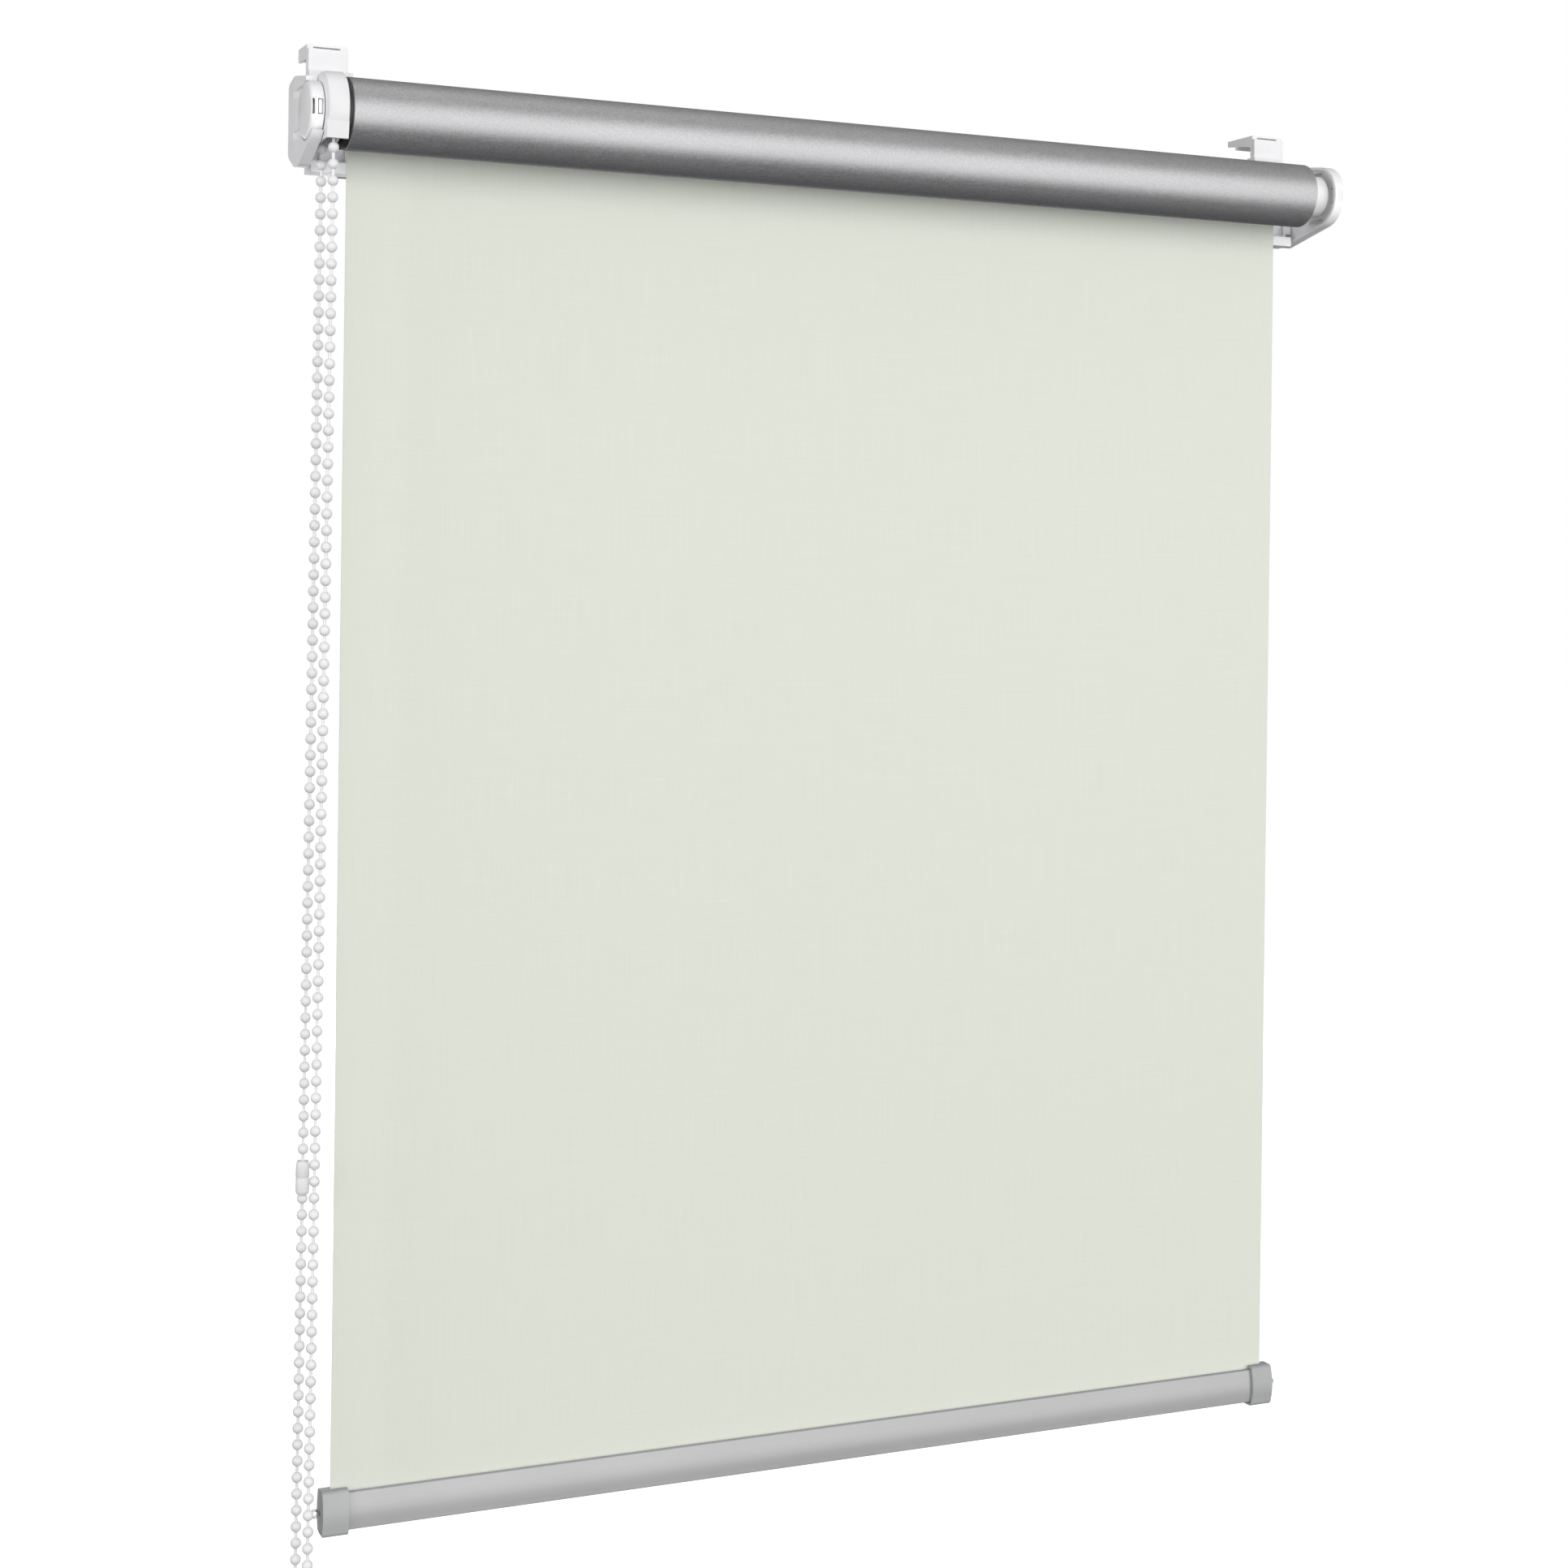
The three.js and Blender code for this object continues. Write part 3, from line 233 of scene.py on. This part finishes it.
def white_plastic():
    material = moulded_plastic("white_plastic", (0.90, 0.90, 0.91), 0.36)
    return milky(material, 0.12, (1.0, 0.9, 0.8), 0.8 * MM)


def chain_plastic():
    material = moulded_plastic("chain_plastic", (0.93, 0.93, 0.935), 0.3, 0.008 * MM)
    return milky(material, 0.25, (1.0, 0.95, 0.9), 0.7 * MM)


def silver_coating():
    """Metallised coating on the fabric: satin, with fine glints of the flakes and faint weave below."""
    m = Nodes("silver_coating")
    place = m.place()
    flakes = m.add("ShaderNodeTexVoronoi", feature="F1")
    flakes.inputs["Scale"].default_value = 2600
    m.link(place, flakes.inputs["Vector"])
    glint = m.separate(flakes.outputs["Color"])[0]
    slow = m.noise(m.stretched(place, (12, 60, 60)), 1.0, 3)
    tone = m.combine("ADD", m.combine("MULTIPLY", glint, 0.7), m.combine("MULTIPLY", slow, 0.3))
    stops = (0.12, (0.39, 0.39, 0.397)), (0.5, (0.46, 0.46, 0.467)), (0.9, (0.54, 0.54, 0.547))
    m.link(m.colours(tone, *stops), m.shader.inputs["Base Color"])
    m.link(m.spread(glint, 0.0, 1.0, 0.46, 0.54), m.shader.inputs["Roughness"])
    weave = m.combine("ADD", m.wave(place, "X", 0.45 * MM), m.noise(place, 1500, 2))
    rough = m.bump(glint, 0.01 * MM, 0.5, m.bump(weave, 0.01 * MM, 0.5))
    m.link(rough, m.shader.inputs["Normal"])
    m.set(Metallic=0.8, IOR=1.5, Specular_Tint=(0.4, 0.4, 0.41, 1))
    return m.material


def cream_fabric():
    """Plain weave of fine cream yarn, with slubs, uneven yarns and a faint sheen."""
    m = Nodes("cream_fabric")
    place = m.place()
    yarn = 0.42 * MM
    warp = m.wave(place, "X", yarn)
    weft = m.wave(place, "Z", yarn)
    thread = m.combine("MULTIPLY", warp, weft)
    slub_across = m.noise(m.stretched(place, (30, 1, 2400)), 1.0, 2)
    slub_down = m.noise(m.stretched(place, (2400, 1, 30)), 1.0, 2)
    slubs = m.combine("MULTIPLY", m.combine("ADD", slub_across, slub_down), 0.5)
    tone = m.combine("ADD", m.combine("MULTIPLY", thread, 0.35), m.combine("MULTIPLY", slubs, 0.65))
    m.link(
        m.colours(tone, (0.25, (0.735, 0.765, 0.675)), (0.6, (0.79, 0.815, 0.73))),
        m.shader.inputs["Base Color"],
    )
    m.link(m.bump(tone, 0.06 * MM, 0.5), m.shader.inputs["Normal"])
    m.set(Roughness=0.86, Sheen_Weight=0.08, Sheen_Roughness=0.5, IOR=1.45)
    return m.material


def anodised_bar():
    """Satin anodised aluminium with fine drawing lines along the bar."""
    m = Nodes("bar_aluminium")
    place = m.place()
    lines = m.noise(m.stretched(place, (6, 3000, 3000)), 1.0, 3)
    cloud = m.noise(m.stretched(place, (20, 80, 80)), 1.0, 2)
    tone = m.combine("ADD", m.combine("MULTIPLY", lines, 0.6), m.combine("MULTIPLY", cloud, 0.4))
    m.link(
        m.colours(tone, (0.3, (0.43, 0.43, 0.435)), (0.7, (0.48, 0.48, 0.485))),
        m.shader.inputs["Base Color"],
    )
    m.link(m.spread(lines, 0.3, 0.7, 0.36, 0.48), m.shader.inputs["Roughness"])
    m.link(m.bump(lines, 0.01 * MM, 0.5), m.shader.inputs["Normal"])
    m.set(Metallic=0.15, IOR=1.5, Anisotropic=0.3, Specular_Tint=(0.5, 0.5, 0.5, 1))
    return m.material


def bare_metal(name, colour, roughness):
    """Plain drawn or turned metal with fine scratches."""
    m = Nodes(name)
    place = m.place()
    scratches = m.noise(m.stretched(place, (900, 4000, 4000)), 1.0, 3)
    darker = tuple(c * 0.85 for c in colour)
    m.link(m.colours(scratches, (0.3, darker), (0.7, colour)), m.shader.inputs["Base Color"])
    m.link(m.spread(scratches, 0.3, 0.7, roughness - 0.06, roughness + 0.08), m.shader.inputs["Roughness"])
    m.link(m.bump(scratches, 0.008 * MM), m.shader.inputs["Normal"])
    m.set(Metallic=1.0)
    return m.material


def foam_pad():
    m = Nodes("sash_pad")
    place = m.place()
    cells = m.add("ShaderNodeTexVoronoi", feature="F1")
    cells.inputs["Scale"].default_value = 1900
    m.link(place, cells.inputs["Vector"])
    m.link(
        m.colours(cells.outputs["Distance"], (0.0, (0.30, 0.235, 0.19)), (0.7, (0.40, 0.33, 0.28))),
        m.shader.inputs["Base Color"],
    )
    m.link(m.bump(cells.outputs["Distance"], 0.12 * MM, 0.8), m.shader.inputs["Normal"])
    m.set(Roughness=0.93)
    return m.material


def studio_floor():
    m = Nodes("studio_floor")
    tone = m.noise(m.place(), 1.5, 2)
    pale = m.colours(tone, (0.3, (0.88, 0.88, 0.88)), (0.7, (0.9, 0.9, 0.9)))
    m.link(pale, m.shader.inputs["Base Color"])
    m.set(Roughness=0.9, Emission_Color=(1, 1, 1, 1), Emission_Strength=0.75)
    return m.material


# ---------------------------------------------------------------- mesh helpers


def mesh_object(name, points, faces, materials, smooth=True):
    mesh = bpy.data.meshes.new(name)
    mesh.from_pydata(points, [], faces)
    mesh.validate()
    made = bpy.data.objects.new(name, mesh)
    for material in materials:
        mesh.materials.append(material)
    if smooth:
        mesh.shade_smooth()
    bpy.context.scene.collection.objects.link(made)
    return made


def sharpen(made, degrees=35):
    made.data.shade_smooth()
    made.data.set_sharp_from_angle(angle=math.radians(degrees))


def bridge(lower, upper):
    """Faces between two rings of point numbers."""
    count = len(lower)
    return [(lower[i], lower[(i + 1) % count], upper[(i + 1) % count], upper[i]) for i in range(count)]


def cross_axes(along):
    """Two directions square to the one given."""
    across = Vector((1, 0, 0))
    side = (across - along * across.dot(along)).normalized()
    return side, along.cross(side)


def ring_of_points(centre, radius, axes, sides):
    side, up = axes
    angles = [2 * math.pi * k / sides for k in range(sides)]
    return [centre + radius * (math.cos(angle) * side + math.sin(angle) * up) for angle in angles]


def skin(rings):
    """Points and faces of a body drawn through rings of points, closed at both ends."""
    sides = len(rings[0])
    numbers = [range(start, start + sides) for start in range(0, sides * len(rings), sides)]
    faces = []
    for lower, upper in zip(numbers, numbers[1:]):
        faces += bridge(lower, upper)
    faces.append(tuple(reversed(numbers[0])))
    faces.append(tuple(numbers[-1]))
    return [point for ring in rings for point in ring], faces


def tube(path, radius, sides=10):
    """A round tube along a path."""
    rings = []
    for i, place in enumerate(path):
        ahead = (path[min(i + 1, len(path) - 1)] - path[max(i - 1, 0)]).normalized()
        rings.append(ring_of_points(place, radius, cross_axes(ahead), sides))
    return skin(rings)


def bead(centre, along, sides=14, rows=9):
    """A ball with small flats at the two ends of its hole."""
    axes = cross_axes(along)
    narrow = math.asin(STRING_RADIUS / BEAD_RADIUS)
    rings = []
    for row in range(rows):
        angle = narrow + (math.pi - 2 * narrow) * row / (rows - 1)
        middle = centre - along * BEAD_RADIUS * math.cos(angle)
        rings.append(ring_of_points(middle, BEAD_RADIUS * math.sin(angle), axes, sides))
    return skin(rings)


def together(shapes):
    """Several (points, faces) pairs as one."""
    points, faces = [], []
    for more_points, more_faces in shapes:
        start = len(points)
        points += more_points
        faces += [tuple(start + i for i in face) for face in more_faces]
    return points, faces


# ---------------------------------------------------------------- bead chain


def strand_point(side, drop):
    """Centre of a strand below the axis. side is -1 for the front strand and 1 for the rear one."""
    return Vector((CHAIN_X - CHAIN_LEAN * drop, AXIS_Y + side * PITCH_RADIUS, -drop))


def loop_path():
    """The hanging loop: down in front, round the bend and up behind."""
    straight = 40
    run = CHAIN_DROP - CHAIN_START
    path = [strand_point(-1, CHAIN_START + run * i / straight) for i in range(straight)]
    bend = 24
    for i in range(bend + 1):
        angle = math.pi * i / bend
        place = strand_point(-math.cos(angle), CHAIN_DROP)
        path.append(place + Vector((0, 0, -PITCH_RADIUS * math.sin(angle))))
    path += [strand_point(1, CHAIN_DROP - run * i / straight) for i in range(1, straight + 1)]
    return path


def wheel_path():
    """The stretch of chain that lies over the wheel."""
    steps = 32
    path = []
    for i in range(steps + 1):
        angle = math.pi - math.pi * i / steps
        out = PITCH_RADIUS * Vector((0, math.cos(angle), math.sin(angle)))
        path.append(Vector((CHAIN_X, AXIS_Y, 0)) + out)
    return path


def beads_along(path, first):
    """Beads at the chain's pitch along a path, the first one that far from its start."""
    shapes = []
    wanted, gone = first, 0.0
    for a, b in zip(path, path[1:]):
        step = (b - a).length
        while wanted <= gone + step:
            along = (b - a).normalized()
            shapes.append(bead(a + along * (wanted - gone), along))
            wanted += BEAD_PITCH
        gone += step
    return shapes


def ride_as(made, body, stands_for):
    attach(made, body)
    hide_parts(stands_for)


def beaded_string(name, path, first, material, stands_for):
    points, faces = together([tube(path, STRING_RADIUS), *beads_along(path, first)])
    made = mesh_object(name, points, faces, [material])
    ride_as(made, "brackets", stands_for)
    return made


def bead_chain(material):
    path = loop_path()
    chain = beaded_string("bead_chain", path, FIRST_BEAD_HANGING, material, "chain_loop")
    over = wheel_path()
    top = beaded_string("beads_over_wheel", over, FIRST_BEAD_ON_WHEEL, material, "chain_over_wheel")
    connector = chain_connector(material)


def chain_connector(material):
    """The barrel that joins the chain's ends: a sleeve with chamfered ends, a waist and a snap seam."""
    end = CONNECTOR_LENGTH / 2
    upper_half = [
        (CONNECTOR_SEAM, CONNECTOR_RADIUS - CONNECTOR_SEAM),
        (0.35 * MM, CONNECTOR_RADIUS),
        (end - 1.2 * MM, CONNECTOR_RADIUS),
        (end - 0.25 * MM, CONNECTOR_RADIUS - 0.25 * MM),
        (end, CONNECTOR_RADIUS - CONNECTOR_CHAMFER),
        (end, CONNECTOR_BORE),
    ]
    profile = [(-height, radius) for height, radius in reversed(upper_half)] + upper_half
    centre = strand_point(1, CONNECTOR_DROP)
    along = Vector((CHAIN_LEAN, 0, 1)).normalized()
    axes = cross_axes(along)
    sides = 40
    points, faces, rings = [], [], []
    for height, radius in profile:
        rings.append(range(len(points), len(points) + sides))
        points += ring_of_points(centre + along * height, radius, axes, sides)
    for lower, upper in zip(rings, [*rings[1:], rings[0]]):
        faces += bridge(lower, upper)
    made = mesh_object("connector_barrel", points, faces, [material])
    sharpen(made, 40)
    ride_as(made, "connector", "chain_connector")
    return made


# ---------------------------------------------------------------- fabric


def hanging_sheet(cream, silver):
    """The hanging sheet, tangent to the back of the roll, with very slow waves between roll and bar."""
    columns, rows = 90, 120
    height = 0.7 * MM
    per_metre_across, per_metre_down = 9, 3.5
    points, faces, marks = [], [], []

    def wave(x, z):
        """How far the sheet stands off its plane: nothing at the roll and at the bar."""
        free = math.sin(math.pi * min(1.0, max(0.0, z / SHEET_END))) ** 0.6
        slow = noise.noise(Vector((x * per_metre_across, 3.1, z * per_metre_down)))
        return height * free * slow

    for face in (-1, 1):
        for row in range(rows + 1):
            z = SHEET_END * row / rows
            for column in range(columns + 1):
                x = -FABRIC_WIDTH / 2 + FABRIC_WIDTH * column / columns
                points.append((x, SHEET_Y + wave(x, z) + face * HALF_SHEET, z))
    wide = columns + 1
    back = wide * (rows + 1)
    for row in range(rows):
        for column in range(columns):
            a = row * wide + column
            faces.append((a, a + wide, a + wide + 1, a + 1))
            marks.append(0)
            b = back + a
            faces.append((b, b + 1, b + wide + 1, b + wide))
            marks.append(1)
    edge = list(range(wide))
    edge += [row * wide + columns for row in range(1, rows + 1)]
    edge += [rows * wide + column for column in range(columns - 1, -1, -1)]
    edge += [row * wide for row in range(rows - 1, 0, -1)]
    for a, b in zip(edge, [*edge[1:], edge[0]]):
        faces.append((a, b, back + b, back + a))
        marks.append(0)
    made = mesh_object("fabric", points, faces, [cream, silver])
    made.data.polygons.foreach_set("material_index", marks)
    sharpen(made, 60)
    ride_as(made, "brackets", "fabric_sheet")
    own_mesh(made)
    made.visible_diffuse = False
    made.visible_glossy = False


def wound_roll(silver, cream):
    """The fabric wound on the tube: one band in a spiral, silver side out, its turns a little uneven."""
    turns = 10
    per_turn = 96
    pitch = (ROLL_RADIUS - CORE_RADIUS - FABRIC_THICKNESS) / turns
    count = turns * per_turn
    columns = 24
    unevenness = 0.25 * MM
    left = -ROLL_LENGTH / 2 + 0.3 * MM
    width = ROLL_LENGTH - 0.6 * MM
    points, faces, marks = [], [], []
    for face in (1, -1):
        for i in range(count + 1):
            angle = 2 * math.pi * (i - count) / per_turn
            radius = CORE_RADIUS + FABRIC_THICKNESS / 2 + pitch * i / per_turn + face * HALF_SHEET
            drift = unevenness * noise.noise(Vector((i / per_turn * 1.7, 0.3, 0.9)))
            for column in range(columns + 1):
                x = left + width * column / columns + drift
                points.append((x, AXIS_Y + radius * math.cos(angle), radius * math.sin(angle)))
    wide = columns + 1
    back = wide * (count + 1)
    for i in range(count):
        for column in range(columns):
            a = i * wide + column
            faces.append((a, a + 1, a + wide + 1, a + wide))
            marks.append(0)
            b = back + a
            faces.append((b, b + wide, b + wide + 1, b + 1))
            marks.append(1)
        for a, flip in ((i * wide, False), (i * wide + columns, True)):
            side = (a, a + wide, back + a + wide, back + a)
            faces.append(tuple(reversed(side)) if flip else side)
            marks.append(1)
    for start in (0, count * wide):
        for column in range(columns):
            a = start + column
            end = (a, back + a, back + a + 1, a + 1)
            faces.append(end if start == 0 else tuple(reversed(end)))
            marks.append(1)
    made = mesh_object("fabric_wound", points, faces, [silver, cream])
    made.data.polygons.foreach_set("material_index", marks)
    sharpen(made, 50)
    ride_as(made, "roller", "fabric_roll")


# ---------------------------------------------------------------- CAD nodes


def soften(node, width, angle=32):
    """Rounds a CAD node's edges. Its own points stay where they are."""
    flat = node.modifiers.new("planar", "DECIMATE")
    flat.decimate_type = "DISSOLVE"
    flat.angle_limit = math.radians(0.5)
    bevel = node.modifiers.new("bevel", "BEVEL")
    bevel.width = width
    bevel.segments = 2
    bevel.limit_method = "ANGLE"
    bevel.angle_limit = math.radians(angle)
    bevel.miter_outer = "MITER_ARC"
    bevel.harden_normals = True


def dress(material, names, bevel=0.08 * MM):
    """Gives CAD nodes a material, welded corners, softened edges and smooth curved faces."""
    for name in names:
        node = nodes[name]
        node.data.materials.clear()
        node.data.materials.append(material)
        normals = node.data.attributes.get("custom_normal")
        if normals:
            node.data.attributes.remove(normals)
        node.data.shade_smooth()
        weld = node.modifiers.new("weld", "WELD")
        weld.merge_threshold = 0.002 * MM
        soften(node, bevel)


def dress_frame():
    white = white_plastic()
    dress(
        white,
        [
            "left_bracket", "right_bracket", "bearing_cap", "chain_guard",
            "left_clamp_hook", "right_clamp_hook",
        ],
        bevel=0.22 * MM,
    )
    dress(white, ["clutch_post", "chain_wheel", "idle_plug", "hem_rod", "fabric_fixing_strip"])
    dress(moulded_plastic("black_plastic", (0.018, 0.018, 0.02), 0.42), ["drive_plug", "idle_bush"])
    dress(
        moulded_plastic("grey_plastic", (0.42, 0.425, 0.425), 0.42),
        ["left_end_cap", "right_end_cap"],
        bevel=0.2 * MM,
    )
    dress(anodised_bar(), ["bottom_bar"])
    dress(bare_metal("tube_aluminium", (0.74, 0.74, 0.75), 0.34), ["roller_tube"])
    dress(
        bare_metal("steel", (0.56, 0.56, 0.58), 0.28),
        [
            "left_clamp_screw", "right_clamp_screw", "left_clamp_nut", "right_clamp_nut",
            "wrap_spring_1", "wrap_spring_2", "idle_pin", "idle_spring", "left_eyelet", "right_eyelet",
        ],
    )
    dress(foam_pad(), ["left_sash_pad", "right_sash_pad"])


def squeeze_idle_spring():
    """Gives the idle pin's spring a mesh of its own."""
    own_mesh(nodes["idle_spring"])


# ---------------------------------------------------------------- stage and light


def make_floor():
    """A plain pale floor. Only the camera sees it, so it throws no light up at the object."""
    corners = ((-1, -1), (1, -1), (1, 1), (-1, 1))
    points = [(x * FLOOR_REACH, y * FLOOR_REACH, FLOOR_Z) for x, y in corners]
    made = mesh_object("floor", points, [(0, 1, 2, 3)], [studio_floor()], smooth=False)
    made.visible_diffuse = False
    made.visible_glossy = False


def area_light(name, place, target, size, power):
    data = bpy.data.lights.new(name, "AREA")
    data.shape = "RECTANGLE"
    data.size, data.size_y = size
    data.energy = power
    made = bpy.data.objects.new(name, data)
    made.location = place
    made.rotation_euler = (Vector(target) - Vector(place)).to_track_quat("-Z", "Y").to_euler()
    bpy.context.scene.collection.objects.link(made)
    return made


def light_only(light, pieces):
    """Keeps a light's effect to a few pieces, as a flag in a studio does."""
    lit = bpy.data.collections.new(light.name + "_lit")
    for piece in pieces:
        lit.objects.link(piece)
    light.light_linking.receiver_collection = lit


def make_world():
    """White behind everything. The light it gives is softer, and weaker from below."""
    world = bpy.data.worlds.new("studio")
    bpy.context.scene.world = world
    world.use_nodes = True
    nodes_here = world.node_tree.nodes
    link = world.node_tree.links.new
    background = nodes_here["Background"]
    place = nodes_here.new("ShaderNodeTexCoord")
    split = nodes_here.new("ShaderNodeSeparateXYZ")
    link(place.outputs["Generated"], split.inputs["Vector"])
    height = nodes_here.new("ShaderNodeMapRange")
    height.inputs["From Min"].default_value = -0.6
    height.inputs["From Max"].default_value = 0.7
    link(split.outputs["Z"], height.inputs["Value"])
    ramp = nodes_here.new("ShaderNodeValToRGB")
    ramp.color_ramp.elements[0].color = (0.13, 0.13, 0.135, 1)
    ramp.color_ramp.elements[1].color = (0.30, 0.30, 0.30, 1)
    link(height.outputs["Result"], ramp.inputs["Fac"])
    link(ramp.outputs["Color"], background.inputs["Color"])
    seen = nodes_here.new("ShaderNodeLightPath")
    plain = nodes_here.new("ShaderNodeBackground")
    plain.inputs["Color"].default_value = (1, 1, 1, 1)
    mix = nodes_here.new("ShaderNodeMixShader")
    link(seen.outputs["Is Camera Ray"], mix.inputs["Fac"])
    link(background.outputs["Background"], mix.inputs[1])
    link(plain.outputs["Background"], mix.inputs[2])
    link(mix.outputs["Shader"], nodes_here["World Output"].inputs["Surface"])
    bpy.context.scene.view_settings.view_transform = "Standard"


def make_lights():
    """A broad front softbox, weaker fills, and two small ones kept to the brackets and to the bar."""
    area_light("key", (0.6, -2.2, 0.0), (0, AXIS_Y, -0.15), (3.2, 3.0), 64)
    area_light("left", (-2.0, -0.5, 0.0), (-0.2, AXIS_Y, -0.1), (1.2, 1.4), 18)
    area_light("top", (0.0, -0.3, 1.9), (0, AXIS_Y, -0.2), (1.4, 1.0), 5)
    area_light("back", (0.3, 2.0, -0.35), (0, AXIS_Y, -0.3), (2.2, 1.0), 12)
    low = area_light("low", (-0.4, -1.0, -0.9), (0, AXIS_Y, 0.0), (2.2, 0.6), 14)
    light_only(low, [nodes["left_bracket"], nodes["right_bracket"], nodes["bearing_cap"]])
    beside = area_light("beside_bar", (-0.5, -0.5, -0.45), (-0.15, AXIS_Y, -0.51), (0.3, 0.3), 0.6)
    light_only(beside, [nodes["bottom_bar"], nodes["left_end_cap"], nodes["right_end_cap"]])


# ---------------------------------------------------------------- build


make_camera()
make_world()
make_floor()
bead_chain(chain_plastic())
silver = silver_coating()
cream = cream_fabric()
hanging_sheet(cream, silver)
wound_roll(silver, cream)
dress_frame()
squeeze_idle_spring()
make_lights()
